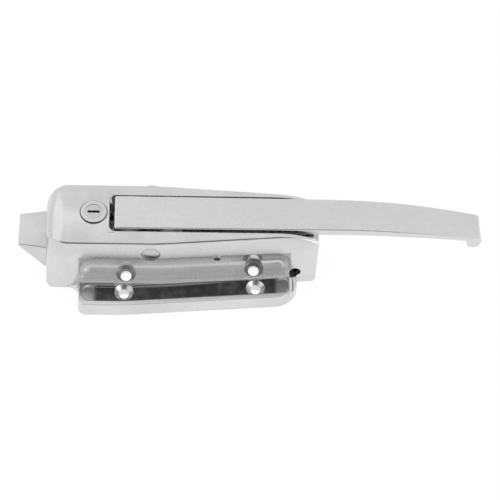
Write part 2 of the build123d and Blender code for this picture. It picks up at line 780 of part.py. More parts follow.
def keeper_screws():
    """Four countersunk screws with cross slots."""
    screws = []
    for x, y in keeper_places():
        head = Pos(x, y, keeper_base + 0.85) * Cone(keeper_screw_radius * 2 - 0.4, keeper_screw_radius, 1.5)
        shank = rod_z(keeper_screw_radius, keeper_base + 0.1, keeper_base + keeper_screw_length, x, y)
        screw = head + shank
        slot = block((x - 4, x + 4), (y - 0.4, y + 0.4), (0, keeper_base + 0.8))
        screws.append(screw - slot)
    return tidy(Compound(children=screws), "keeper_screws")


# ---- Set screw -------------------------------------------------------------
def set_screw():
    """Socket set screw in the near wall."""
    start = -side_wall(set_screw_x, set_screw_z) + set_screw_depth
    screw = rod_y(set_screw_radius, start, start + set_screw_length, set_screw_x, set_screw_z)
    socket = extrude(RegularPolygon(set_screw_socket / 2, 6, major_radius=False), amount=4)
    socket = Pos(set_screw_x, start, set_screw_z) * Rot(-90, 0, 0) * socket
    tip = screw.edges().filter_by(GeomType.CIRCLE).sort_by(Axis.Y)
    return tidy(chamfer([tip[0], tip[-1]], 0.6) - socket, "set_screw")


# ---- Key lock --------------------------------------------------------------
def lock_housing():
    """Round lock case with its head seated in the face."""
    head = rod_z(lock_head_radius, lock_seat, lock_head_top, lock_x, 0)
    head = chamfer(head.edges().filter_by(GeomType.CIRCLE).sort_by(Axis.Z)[-1], 0.5)
    case = head + rod_z(lock_body_radius, lock_body_bottom, lock_seat, lock_x, 0)
    case -= rod_z(plug_radius + plug_clearance, 0, 80, lock_x, 0)
    return tidy(case, "lock_housing")


def lock_plug():
    """Rotating plug with a keyway, wafer slots and a square tail."""
    top = lock_head_top - plug_top_drop
    plug = rod_z(plug_radius, lock_body_bottom - 0.2, top, lock_x, 0)
    half = cam_square / 2
    tail_low = lock_body_bottom - 0.2 - cam_thick - 0.1
    plug += block((lock_x - half, lock_x + half), (-half, half), (tail_low, lock_body_bottom))
    plug -= block((lock_x - keyway_length / 2, lock_x + keyway_length / 2), (-keyway_width / 2, keyway_width / 2),
                  (top - keyway_depth, top + 1))
    for z in wafer_heights():
        plug -= block((lock_x - 10, lock_x + 10), (-wafer_width / 2 - 0.1, wafer_width / 2 + 0.1),
                      (z - 0.1, z + wafer_thick + 0.1))
    plug -= rod_z(cam_screw_radius, 0, tail_low + cam_screw_length + 0.5, lock_x, 0)
    return tidy(plug, "lock_plug")


def wafer_heights():
    """Undersides of the wafers, from the face inwards."""
    first = lock_head_top - 5.0
    return [first - index * wafer_pitch for index in range(wafer_count)]


def lock_wafers():
    """Stack of brass wafers, each with a window for the key."""
    wafers = []
    for z in wafer_heights():
        plate = block((lock_x - wafer_length / 2, lock_x + wafer_length / 2), (-wafer_width / 2, wafer_width / 2),
                      (z, z + wafer_thick))
        window = block((lock_x - keyway_length / 2 - 0.1, lock_x + keyway_length / 2 + 0.1),
                       (-keyway_width / 2 - 0.2, keyway_width / 2 + 0.2), (z - 1, z + 3))
        wafers.append(plate - window)
    return tidy(Compound(children=wafers), "lock_wafers")


def lock_nut():
    """Thin hexagon nut that clamps the lock against the casting."""
    nut = extrude(RegularPolygon(nut_flats / 2, 6, major_radius=False, rotation=30), amount=nut_thick)
    nut = Pos(lock_x, 0, lock_boss_bottom - nut_thick) * nut
    return tidy(nut - rod_z(lock_body_radius, 0, 80, lock_x, 0), "lock_nut")


def lock_cam():
    """Flat cam on the plug's square tail, its arm across the body when unlocked."""
    top = lock_body_bottom - 0.3
    hub = Pos(lock_x, 0) * Circle(cam_hub_radius)
    reach = cam_reach - cam_arm_width / 2
    arm = Pos(lock_x, -reach) * Circle(cam_arm_width / 2)
    outline = make_hull((Sketch() + [hub, arm]).edges())
    plate = extrude(Pos(0, 0, top - cam_thick) * outline, amount=cam_thick)
    half = cam_square / 2 + 0.05
    return tidy(plate - block((lock_x - half, lock_x + half), (-half, half), (0, 60)), "lock_cam")


def cam_washer():
    """Washer under the cam screw's head."""
    top = lock_body_bottom - 0.3 - cam_thick
    ring = rod_z(cam_washer_radius, top - cam_washer_thick, top, lock_x, 0)
    return tidy(ring - rod_z(cam_screw_radius + 0.1, 0, 60, lock_x, 0), "cam_washer")


def cam_screw():
    """Screw that holds the cam on the plug."""
    seat = lock_body_bottom - 0.3 - cam_thick - cam_washer_thick
    head = rod_z(cam_screw_head_radius, seat - cam_screw_head_thick, seat, lock_x, 0)
    head = chamfer(head.edges().filter_by(GeomType.CIRCLE).sort_by(Axis.Z)[0], 0.5)
    screw = head + rod_z(cam_screw_radius, seat, seat + cam_screw_length, lock_x, 0)
    low = seat - cam_screw_head_thick
    return tidy(screw - block((lock_x - 5, lock_x + 5), (-0.5, 0.5), (low - 1, low + 0.9)), "cam_screw")


SUB_PARTS = [
    body_casting, lever_handle, pivot_pin, stop_pin, drive_pin, trigger_bolt, bolt_spring, spring_rod,
    spring_seat, return_spring, keeper_plate, keeper_screws, set_screw, lock_housing, lock_plug,
    lock_wafers, lock_nut, lock_cam, cam_washer, cam_screw,
]

for make in SUB_PARTS:
    save(make.__name__, make())
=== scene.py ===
"""Looks of a surface-mounted lever latch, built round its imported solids."""
import logging
import math
from dataclasses import dataclass, field
from enum import Enum
from typing import Any

import bpy
from mathutils import Matrix, Vector


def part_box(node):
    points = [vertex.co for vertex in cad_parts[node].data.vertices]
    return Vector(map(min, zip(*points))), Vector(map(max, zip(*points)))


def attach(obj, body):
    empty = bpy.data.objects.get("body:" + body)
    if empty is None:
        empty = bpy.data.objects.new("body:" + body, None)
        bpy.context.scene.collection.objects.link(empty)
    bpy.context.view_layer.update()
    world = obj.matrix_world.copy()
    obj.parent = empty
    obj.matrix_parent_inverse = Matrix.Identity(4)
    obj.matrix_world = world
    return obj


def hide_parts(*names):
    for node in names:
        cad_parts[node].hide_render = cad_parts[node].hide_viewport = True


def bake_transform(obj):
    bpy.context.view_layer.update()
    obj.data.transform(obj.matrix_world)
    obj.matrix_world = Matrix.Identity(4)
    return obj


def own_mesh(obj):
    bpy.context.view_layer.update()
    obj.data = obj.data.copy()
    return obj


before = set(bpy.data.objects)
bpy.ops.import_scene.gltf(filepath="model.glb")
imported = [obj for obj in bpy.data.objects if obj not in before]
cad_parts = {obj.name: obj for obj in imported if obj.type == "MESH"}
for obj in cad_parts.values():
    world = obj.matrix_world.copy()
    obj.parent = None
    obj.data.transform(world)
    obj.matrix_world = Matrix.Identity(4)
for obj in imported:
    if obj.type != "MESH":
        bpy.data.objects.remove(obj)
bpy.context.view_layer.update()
LOG = logging.getLogger("latch")
MM = 0.001
EDGE_SAMPLES = 6
BUMP_STRENGTH = 0.6
CLOUD_SCALE = 38.0
CLOUD_SHARE = 0.6
LOCK_AXIS = (-68.0 * MM, 37.6 * MM)
# Painted shade for the seam round the lock's head.
SEAM_PAINTED_SHADE = (0.02, 0.02, 0.02, 1.0)
RING_TONE = (0.25, 0.25, 0.25, 1.0)
WHITE = (1.0, 1.0, 1.0, 1.0)


class Axis(Enum):
    """Directions that a brushed or drawn finish can run in."""

    ALONG_X = (0.04, 1.0, 1.0)
    ALONG_Y = (1.0, 0.04, 1.0)


class Bump(Enum):
    """Depth of a bump pattern, in metres."""

    SOFT = 0.000002
    FINE = 0.00003
    CAST = 0.00008


class Signal:
    """A socket that takes part in Python expressions."""

    def __init__(self, graph: "Graph", socket: Any) -> None:
        """Keeps the graph and the socket.

        Args:
            graph: The node graph that the socket belongs to.
            socket: An output socket.
        """
        self.graph = graph
        self.socket = socket

    def __add__(self, other: Any) -> "Signal":
        """Sum with a signal or a number."""
        return self.graph.maths("ADD", self, other)

    def __radd__(self, other: Any) -> "Signal":
        """Sum with a number on the left."""
        return self.graph.maths("ADD", other, self)

    def __sub__(self, other: Any) -> "Signal":
        """Difference from a signal or a number."""
        return self.graph.maths("SUBTRACT", self, other)

    def __rsub__(self, other: Any) -> "Signal":
        """Number less this signal."""
        return self.graph.maths("SUBTRACT", other, self)

    def __mul__(self, other: Any) -> "Signal":
        """Product with a signal or a number."""
        return self.graph.maths("MULTIPLY", self, other)

    def __rmul__(self, other: Any) -> "Signal":
        """Product with a number on the left."""
        return self.graph.maths("MULTIPLY", other, self)

    def between(self, low: float, high: float, to_low: float = 0.0,
                to_high: float = 1.0) -> "Signal":
        """Smooth step of this signal.

        Args:
            low: Where the step starts.
            high: Where the step ends.
            to_low: Result at the start.
            to_high: Result at the end.

        Returns:
            The stepped signal, held at its ends.
        """
        node = self.graph.node(
            "ShaderNodeMapRange", {"interpolation_type": "SMOOTHSTEP", "clamp": True},
            {0: self, 1: low, 2: high, 3: to_low, 4: to_high})
        return Signal(self.graph, node.outputs[0])

    def magnitude(self) -> "Signal":
        """The signal without its sign."""
        return self.graph.maths("ABSOLUTE", self)


class Graph:
    """The node graph of one material or world."""

    def __init__(self, owner: Any) -> None:
        """Empties the owner's node tree.

        Args:
            owner: A material or a world.
        """
        owner.use_nodes = True
        self.tree = owner.node_tree
        self.tree.nodes.clear()

    def node(self, kind: str, settings: dict[str, Any] | None = None,
             inputs: dict[Any, Any] | None = None) -> Any:
        """Adds one node.

        Args:
            kind: The node's type.
            settings: Properties that are set before the sockets.
            inputs: Values or links of the sockets, by name or index.

        Returns:
            The new node.
        """
        made = self.tree.nodes.new(kind)
        for name, value in (settings or {}).items():
            setattr(made, name, value)
        for name, value in (inputs or {}).items():
            if isinstance(value, Signal):
                self.tree.links.new(value.socket, made.inputs[name])
            else:
                made.inputs[name].default_value = value
        return made

    def maths(self, operation: str, *terms: Any) -> Signal:
        """Adds a Math node.

        Args:
            operation: Its operation.
            terms: Signals or numbers.

        Returns:
            Its result.
        """
        made = self.node("ShaderNodeMath", {"operation": operation}, dict(enumerate(terms)))
        return Signal(self, made.outputs[0])

    def mix(self, factor: Any, first: Any, second: Any) -> Signal:
        """Blends two colours.

        Args:
            factor: Share of the second colour.
            first: Colour at 0.
            second: Colour at 1.

        Returns:
            The blended colour.
        """
        made = self.node("ShaderNodeMix", {"data_type": "RGBA", "clamp_factor": True},
                         {0: factor, 6: first, 7: second})
        return Signal(self, made.outputs[2])

    def place(self) -> Signal:
        """Object coordinates."""
        return Signal(self, self.node("ShaderNodeTexCoord").outputs["Object"])

    def split(self, vector: Signal) -> tuple[Signal, Signal, Signal]:
        """X, Y and Z of a vector."""
        made = self.node("ShaderNodeSeparateXYZ", inputs={0: vector})
        return tuple(Signal(self, out) for out in made.outputs)

    def from_axis(self, centre: tuple[float, float]) -> Signal:
        """Distance from an upright axis.

        Args:
            centre: X and Y of the axis.

        Returns:
            The distance in metres.
        """
        x, y, _ = self.split(self.place())
        away_x, away_y = x - centre[0], y - centre[1]
        return self.maths("SQRT", away_x * away_x + away_y * away_y)

    def rays(self, *kinds: str) -> Signal:
        """1 for rays of any of the named kinds, which are outputs of Light Path."""
        path = self.node("ShaderNodeLightPath")
        found = Signal(self, path.outputs[kinds[0]])
        for kind in kinds[1:]:
            found = self.maths("MAXIMUM", found, Signal(self, path.outputs[kind]))
        return found

    def mix_shaders(self, factor: Signal, first: Any, second: Any) -> Any:
        """Blends two shader nodes.

        Args:
            factor: Share of the second one.
            first: Shader at 0.
            second: Shader at 1.

        Returns:
            The mixing node.
        """
        return self.node("ShaderNodeMixShader", inputs={
            0: factor, 1: Signal(self, first.outputs[0]), 2: Signal(self, second.outputs[0])})

    def close(self, kind: str, shader: Any) -> None:
        """Joins a shader node to a new output node of a kind."""
        self.node(kind, inputs={0: Signal(self, shader.outputs[0])})

    def stretched(self, scale: tuple[float, float, float]) -> Signal:
        """Object coordinates scaled by axis.

        Args:
            scale: Factor along each axis.

        Returns:
            The scaled coordinates.
        """
        made = self.node("ShaderNodeMapping", inputs={"Vector": self.place(), "Scale": scale})
        return Signal(self, made.outputs[0])

    def noise(self, scale: float, detail: float = 4.0, rough: float = 0.55,
              vector: Signal | None = None) -> Signal:
        """Noise texture between 0 and 1.

        Args:
            scale: Cells per metre.
            detail: Octaves.
            rough: Weight of the finer octaves.
            vector: Coordinates, or object coordinates if none.

        Returns:
            The noise value.
        """
        made = self.node("ShaderNodeTexNoise", inputs={
            "Vector": vector or self.place(), "Scale": scale, "Detail": detail, "Roughness": rough})
        return Signal(self, made.outputs[0])

    def rounded_bump(self, height: Signal, depth: float, edge: float) -> Signal:
        """Normal of a bump laid over edges that look rounded.

        Args:
            height: Height pattern, 0 to 1.
            depth: Depth of the pattern in metres.
            edge: Radius of the edges in metres.

        Returns:
            The normal.
        """
        soft = self.node("ShaderNodeBevel", {"samples": EDGE_SAMPLES}, {"Radius": edge})
        made = self.node("ShaderNodeBump", inputs={
            "Height": height, "Distance": depth, "Strength": BUMP_STRENGTH,
            "Normal": Signal(self, soft.outputs[0])})
        return Signal(self, made.outputs[0])


@dataclass(frozen=True)
class Finish:
    """A metal finish with colour drift, grain, brushing and soft edges."""

    name: str
    colour: tuple[float, float, float]
    roughness: float = 0.3
    metallic: float = 1.0
    drift: float = 0.05
    grain_scale: float = 900.0
    brush: Axis | None = None
    brush_scale: float = 1400.0
    brush_share: float = 0.4
    bump: Bump = Bump.FINE
    edge: float = 0.3 * MM

    def tone(self, graph: Graph, base: Signal) -> Signal:
        """Colour of the finish; zones of a piece are added by its own class.

        Args:
            graph: The material's graph.
            base: The plain colour with its drift.

        Returns:
            The colour to use.
        """
        return base

    def wear(self, graph: Graph, rough: Signal) -> Signal:
        """Roughness of the finish; returned as it is unless a class changes it."""
        return rough

    def metal(self, graph: Graph) -> Any:
        """Metallic share of the finish; a plain number unless a class changes it."""
        return self.metallic

    def make(self) -> bpy.types.Material:
        """Builds the material.

        Returns:
            The new material.
        """
        material = bpy.data.materials.new(self.name)
        graph = Graph(material)
        cloud = graph.noise(CLOUD_SCALE, 3.0)
        grain = graph.noise(self.grain_scale, 5.0, 0.6)
        dark = tuple(c * (1.0 - 2.2 * self.drift) for c in self.colour)
        light = tuple(min(1.0, c * (1.0 + self.drift)) for c in self.colour)
        blend = (cloud.between(0.3, 0.7) * CLOUD_SHARE
                 + grain.between(0.35, 0.65) * (1.0 - CLOUD_SHARE))
        height = grain
        rough = self.roughness + (cloud - 0.5) * 0.10 + (grain - 0.5) * 0.08
        if self.brush is not None:
            lines = graph.noise(self.brush_scale, 3.0, 0.7, graph.stretched(self.brush.value))
            blend = (blend * (1.0 - self.brush_share)
                     + lines.between(0.35, 0.65) * self.brush_share)
            height = grain * 0.3 + lines * 0.7
            rough = rough + (lines - 0.5) * 0.12
        base = graph.mix(blend, (*dark, 1.0), (*light, 1.0))
        shader = graph.node("ShaderNodeBsdfPrincipled", inputs={
            "Base Color": self.tone(graph, base), "Metallic": self.metal(graph),
            "Roughness": self.wear(graph, rough),
            "Normal": graph.rounded_bump(height, self.bump.value, self.edge)})
        graph.close("ShaderNodeOutputMaterial", shader)
        return material


@dataclass(frozen=True)
class BodyFinish(Finish):
    """Cast body: satin face, bright rims, a rough channel floor darkened with painted shade, and a
    recess with painted shade.
    """

    channel_low: float = 8.2 * MM
    channel_top: float = 8.58 * MM
    channel_high: float = 9.2 * MM
    channel_left: float = -46.0 * MM
    channel_run: float = 125.0 * MM
    channel_drift: float = 9.5 * MM
    channel_y: float = -4.9 * MM
    channel_half: float = 6.0 * MM
    # Painted shade: the channel's floor is darkened to stand in for its dark reflection.
    channel_painted_shade: tuple[float, float, float] = (0.075, 0.075, 0.078)
    speck_tone: tuple[float, float, float] = (0.42, 0.42, 0.42)
    wall_y: float = 6.4 * MM
    wall_lean: float = 0.134
    wall_turn_x: float = -22.0 * MM
    wall_turn: float = 0.0706
    recess_back: float = 21.0 * MM
    # Painted light and shade of the recess: light near its floor, dark under its top.
    recess_painted_light: tuple[float, float, float] = (0.84, 0.84, 0.845)
    recess_painted_shade: tuple[float, float, float] = (0.40, 0.40, 0.405)
    recess_metal: float = 0.25

    def channel_mask(self, graph: Graph) -> Signal:
        """1 on the floor of the flange's channel.

        Args:
            graph: The material's graph.

        Returns:
            The mask.
        """
        x, y, z = graph.split(graph.place())
        lean = (x - self.channel_left).between(0.0, self.channel_run, 0.0, self.channel_drift)
        across = (y - lean - self.channel_y).magnitude().between(
            self.channel_half - 0.4 * MM, self.channel_half + 0.4 * MM, 1.0, 0.0)
        level = z.between(self.channel_low, self.channel_low + 0.2 * MM)
        ends = z.between(self.channel_top, self.channel_high, 1.0, 0.0)
        return across * level * ends

    def recess_mask(self, graph: Graph) -> Signal:
        """1 inside the recess of the near side wall.

        Args:
            graph: The material's graph.

        Returns:
            The mask.
        """
        x, y, z = graph.split(graph.place())
        closing = graph.maths("MAXIMUM", x - self.wall_turn_x, 0.0) * self.wall_turn
        behind = y - closing - z * self.wall_lean - self.wall_y
        inside = behind.between(-5.0 * MM, -4.0 * MM) * y.between(
            self.recess_back - 0.5 * MM, self.recess_back + 0.5 * MM, 1.0, 0.0)
        level = z.between(9.4 * MM, 10.2 * MM) * z.between(31.2 * MM, 32.4 * MM, 1.0, 0.0)
        along = x.between(-79.0 * MM, -77.0 * MM) * x.between(69.5 * MM, 71.5 * MM, 1.0, 0.0)
        return inside * level * along

    def tone(self, graph: Graph, base: Signal) -> Signal:
        """Paints shade on the channel's floor, with speckles of bare metal, and paints shading in
        the recess, lighter near its floor and darker towards its top.
        """
        _, _, z = graph.split(graph.place())
        # Painted shade in the recess, darker the higher it goes.
        depth = z.between(11.5 * MM, 24.0 * MM, 0.0, 0.8) + (graph.noise(70.0, 3.0) - 0.5) * 0.3
        recess_painted_shading = graph.mix(depth, (*self.recess_painted_light, 1.0), (*self.recess_painted_shade, 1.0))
        base = graph.mix(self.recess_mask(graph), base, recess_painted_shading)
        specks = graph.noise(2600.0, 2.0).between(0.56, 0.7)
        patches = graph.noise(160.0, 3.0).between(0.35, 0.75)
        # Painted shade on the channel's floor, broken by speckles of bare metal.
        painted_shade_and_specks = graph.mix(specks * 0.35 + patches * 0.25,
                        (*self.channel_painted_shade, 1.0), (*self.speck_tone, 1.0))
        return graph.mix(self.channel_mask(graph), base, painted_shade_and_specks)

    def wear(self, graph: Graph, rough: Signal) -> Signal:
        """Roughens the channel's floor and the recess."""
        return rough + self.channel_mask(graph) * 0.22 + self.recess_mask(graph) * 0.08

    def metal(self, graph: Graph) -> Any:
        """Lowers the metallic share in the recess, which keeps its cast skin."""
        return 1.0 - self.recess_mask(graph) * (1.0 - self.recess_metal)


@dataclass(frozen=True)
class PlugFinish(Finish):
    """Plug face with circular turning marks about the lock's axis."""

    ring_rate: float = 21000.0
    ring_share: float = 0.22

    def tone(self, graph: Graph, base: Signal) -> Signal:
        """Adds faint rings about the plug's axis."""
        rings = graph.maths("SINE", graph.from_axis(LOCK_AXIS) * self.ring_rate)
        return graph.mix(rings.between(-1.0, 1.0, 0.0, self.ring_share), base, RING_TONE)


@dataclass(frozen=True)
class CaseFinish(Finish):
    """Lock case with painted shade in the seam round its head."""

    seam: float = 9.15 * MM
    seam_shade_share: float = 0.95

    def tone(self, graph: Graph, base: Signal) -> Signal:
        """Paints shade on the head's rim, where it sits in the casting."""
        # Painted shade in the gap round the head.
        mask = graph.from_axis(LOCK_AXIS).between(
            self.seam - 0.2 * MM, self.seam + 0.1 * MM, 0.0, self.seam_shade_share)
        return graph.mix(mask, base, SEAM_PAINTED_SHADE)


CASTING = BodyFinish("polished_casting", (0.70, 0.70, 0.705), 0.19, edge=0.8 * MM,
                     bump=Bump.CAST, grain_scale=1300.0)
LEVER = Finish("lever_casting", (0.70, 0.70, 0.705), 0.27, drift=0.03, grain_scale=260.0,
               brush=Axis.ALONG_X, brush_share=0.35, bump=Bump.SOFT, edge=0.4 * MM)
BOLT = Finish("bolt_casting", (0.66, 0.66, 0.66), 0.30, bump=Bump.CAST, edge=0.9 * MM,
              grain_scale=1100.0)
PIN = Finish("ground_pin", (0.62, 0.62, 0.62), 0.28, brush=Axis.ALONG_X, brush_share=0.3)
SPRING = Finish("spring_wire", (0.34, 0.34, 0.35), 0.34, drift=0.12, edge=0.1 * MM)
PLATED = Finish("plated_steel", (0.60, 0.60, 0.575), 0.32, brush=Axis.ALONG_Y, drift=0.08)
BLACK = Finish("black_screw", (0.035, 0.035, 0.036), 0.42, metallic=0.6, drift=0.2)
CASE = CaseFinish("lock_case", (0.66, 0.66, 0.66), 0.24, edge=0.25 * MM)
PLUG = PlugFinish("lock_plug_face", (0.64, 0.64, 0.64), 0.26, edge=0.15 * MM)
BRASS = Finish("wafer_brass", (0.72, 0.52, 0.24), 0.34, drift=0.1, brush=Axis.ALONG_X)


def pick_nothing() -> None:
    """Deselects every object and leaves edit mode."""
    if bpy.context.object and bpy.context.object.mode != "OBJECT":
        bpy.ops.object.mode_set(mode="OBJECT")
    bpy.ops.object.select_all(action="DESELECT")


def activate(piece: bpy.types.Object) -> None:
    """Makes a piece the only selected object and the active one."""
    pick_nothing()
    piece.select_set(True)
    bpy.context.view_layer.objects.active = piece


def turn_outwards() -> None:
    """Points the active piece's faces outwards."""
    bpy.ops.object.mode_set(mode="EDIT")
    bpy.ops.mesh.select_all(action="SELECT")
    bpy.ops.mesh.normals_make_consistent(inside=False)
    bpy.ops.object.mode_set(mode="OBJECT")


def bake_place(piece: bpy.types.Object) -> None:
    """Moves a piece's place, turn and scale into its mesh."""
    activate(piece)
    bpy.ops.object.transform_apply(location=True, rotation=True, scale=True)


def apply_modifiers(piece: bpy.types.Object) -> None:
    """Applies every modifier of a piece, in order."""
    activate(piece)
    for modifier in list(piece.modifiers):
        bpy.ops.object.modifier_apply(modifier=modifier.name)


def smooth(piece: bpy.types.Object, angle: float = 40.0) -> None:
    """Shades a piece smooth below an angle in degrees."""
    activate(piece)
    bpy.ops.object.shade_smooth_by_angle(angle=math.radians(angle))


def arc_points(middle: tuple[float, float], radius: float, start: float, end: float,
               steps: int = 10) -> list[tuple[float, float]]:
    """Points along an arc, from its start to its end.

    Args:
        middle: Centre of the arc.
        radius: Its radius.
        start: First angle in degrees.
        end: Last angle in degrees.
        steps: Number of chords.

    Returns:
        The points.
    """
    angles = [math.radians(start + (end - start) * i / steps) for i in range(steps + 1)]
    return [(middle[0] + radius * math.cos(a), middle[1] + radius * math.sin(a)) for a in angles]


def prism(name: str, plan: list[tuple[float, float]], lows: list[float],
          highs: list[float]) -> bpy.types.Object:
    """Upright solid on a plan, with a height of its own at each corner.

    Args:
        name: Its name.
        plan: Corners of the plan.
        lows: Lower heights.
        highs: Upper heights.

    Returns:
        The new object.
    """
    count = len(plan)
    pick_nothing()
    bpy.ops.mesh.primitive_circle_add(vertices=count, radius=1.0, fill_type="NGON")
    piece = bpy.context.object
    piece.name = name
    order = {(round(v.co.x, 4), round(v.co.y, 4)): v.index for v in piece.data.vertices}
    bpy.ops.object.mode_set(mode="EDIT")
    bpy.ops.mesh.select_all(action="SELECT")
    bpy.ops.mesh.extrude_region_move(TRANSFORM_OT_translate={"value": (0.0, 0.0, 1.0)})
    bpy.ops.object.mode_set(mode="OBJECT")
    for point in piece.data.vertices:
        corner = order[(round(point.co.x, 4), round(point.co.y, 4))]
        height = highs[corner] if point.co.z > 0.5 else lows[corner]
        point.co = (*plan[corner], height)
    turn_outwards()
    return piece


def merged_copy(node: str) -> bpy.types.Object:
    """Copy of a node's mesh with its loose triangles merged.

    Args:
        node: The node's name.

    Returns:
        The copy.
    """
    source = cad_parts[node]
    piece = bpy.data.objects.new(node + "_copy", source.data.copy())
    bpy.context.scene.collection.objects.link(piece)
    activate(piece)
    bpy.ops.object.mode_set(mode="EDIT")
    bpy.ops.mesh.select_all(action="SELECT")
    bpy.ops.mesh.remove_doubles(threshold=0.000002)
    bpy.ops.object.mode_set(mode="OBJECT")
    return piece


@dataclass
class Assembly:
    """A group of nodes and pieces that are dressed together."""

    finishes: dict[str, Finish] = field(default_factory=dict)

    def dress(self) -> None:
        """Gives each of the group's nodes its finish."""
        for name, finish in self.finishes.items():
            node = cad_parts[name]
            node.data.materials.clear()
            node.data.materials.append(MATERIALS[finish.name])
            LOG.info("%s: finish %s", name, finish.name)

    def keep(self, piece: bpy.types.Object, name: str, finish: Finish, body: str,
             slot: str) -> None:
        """Names a new piece, dresses it and ties it to its body.

        Args:
            piece: The new object.
            name: Its name.
            finish: Its finish.
            body: The body that it rides on.
            slot: The record's material slot; not used.
        """
        piece.name = name
        piece.data.name = name
        piece.data.materials.clear()
        piece.data.materials.append(MATERIALS[finish.name])
        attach(piece, body)
        LOG.info("%s: %d faces on %s", name, len(piece.data.polygons), body)


@dataclass
class Housing(Assembly):
    """Body casting with its pins and its keeper plate.

    Small pieces sunk in the casting round the end of the lever's slot, hollow the corner where
    the flange leaves the body and slope the flange's other end.
    """

    lever_y: float = 37.6 * MM
    slot_left: float = -57.1 * MM
    slot_half: float = 15.1 * MM
    slot_low: float = 40.2 * MM
    slot_round: float = 4.5 * MM
    crown: float = 103.0 * MM
    face: float = 49.9 * MM
    join_x: float = -79.0 * MM
    join_y: float = -31.2 * MM
    join_round: float = 7.5 * MM
    join_high: float = 10.5 * MM
    join_low: float = 1.5 * MM
    join_deep: float = -28.4 * MM
    sink: float = 1.2 * MM
    end_middle: tuple[float, float] = (59.5 * MM, -28.43 * MM)
    end_round: float = 16.3 * MM
    end_left: float = 69.6 * MM
    end_high: float = 11.05 * MM
    end_low: float = 6.5 * MM
    end_far: float = -23.5 * MM
    wall_lean: float = 0.134
    pin_end: float = 0.7 * MM
    pin_proud: float = 0.25 * MM
    smooth_below: float = 30.0

    finishes: dict[str, Finish] = field(default_factory=lambda: {
        "body_casting": CASTING, "pivot_pin": PIN, "stop_pin": PIN, "spring_rod": PIN,
        "spring_seat": PLATED, "keeper_plate": PLATED, "keeper_screws": PLATED, "set_screw": BLACK,
    })

    def crown_height(self, across: float) -> float:
        """Height of the crowned face at a distance from the lever's centre line."""
        return self.face - self.crown + math.sqrt(self.crown ** 2 - across ** 2)

    def slot_corner(self, side: int) -> bpy.types.Object:
        """Rounding of one corner of the slot's left-hand end.

        Args:
            side: 1 for the far corner, -1 for the near one.

        Returns:
            The corner, set in place.
        """
        far, sink, turn = self.slot_half, self.sink, self.slot_round
        middle = (self.slot_left + turn, far - turn)
        outline = [(middle[0], far + sink), (self.slot_left - sink, far + sink),
                   (self.slot_left - sink, middle[1])]
        outline += arc_points(middle, turn, 180.0, 90.0)
        points = [(x, side * y) for x, y in outline]
        tops = [self.crown_height(y) - 0.01 * MM for _, y in points]
        return prism("slot_corner", [(x, y + self.lever_y) for x, y in points],
                     [self.slot_low] * len(points), tops)

    def flange_join(self) -> bpy.types.Object:
        """Hollow corner between the body and the flange's left-hand end, low at the body."""
        middle = (self.join_x - self.join_round, self.join_y - self.join_round)
        curve = arc_points(middle, self.join_round, 90.0, 0.0)
        inner = self.join_x + self.sink
        outline = curve + [(inner, middle[1]), (inner, self.join_deep), (middle[0], self.join_deep)]
        rise = self.join_high - self.join_low
        tops = [self.join_low + rise * min(1.0, (x - middle[0]) / self.join_round) ** 2
                for x, _ in outline]
        return prism("flange_join", [(x, y + self.lever_y) for x, y in outline],
                     [0.0] * len(outline), tops)

    def flange_end(self) -> bpy.types.Object:
        """Slope that fills the flange's right-hand end below the set screw."""
        outline = arc_points(self.end_middle, self.end_round, -52.0, 0.0)
        tip = self.end_middle[0] + self.end_round
        outline += [(tip, self.end_far), (self.end_left, self.end_far)]
        slope = (self.end_high - self.end_low) / (tip - self.end_left)
        tops = [self.end_high - slope * max(0.0, x - self.end_left) for x, _ in outline]
        return prism("flange_end", [(x, y + self.lever_y) for x, y in outline],
                     [self.end_low - 1.0 * MM] * len(outline), tops)

    def refine_casting(self) -> None:
        """Adds the casting's four small pieces, sunk a little into its solid."""
        pieces = {
            "slot_corner_far": self.slot_corner(1), "slot_corner_near": self.slot_corner(-1),
            "flange_join": self.flange_join(), "flange_end": self.flange_end()}
        for name, piece in pieces.items():
            smooth(piece, self.smooth_below)
            self.keep(piece, name, CASTING, "housing", "polished_casting")

    def refine_pin(self) -> None:
        """Grinds the pivot pin's near end flush with the leaning wall, on a copy."""
        pin = merged_copy("pivot_pin")
        low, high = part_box("pivot_pin")
        middle = (low.z + high.z) / 2
        for point in pin.data.vertices:
            if point.co.y < low.y + self.pin_end:
                point.co.y += self.wall_lean * (point.co.z - middle) - self.pin_proud
        smooth(pin, self.smooth_below)
        self.keep(pin, "pivot_pin_ground", PIN, "housing", "steel_pin")
        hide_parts("pivot_pin")

    def refine(self) -> None:
        """Adds the casting's small pieces and grinds the pin."""
        self.refine_casting()
        self.refine_pin()


@dataclass
class PullLever(Assembly):
    """Lever with the pin that drives the bolt."""

    finishes: dict[str, Finish] = field(default_factory=lambda: {
        "lever_handle": LEVER, "drive_pin": PIN,
    })


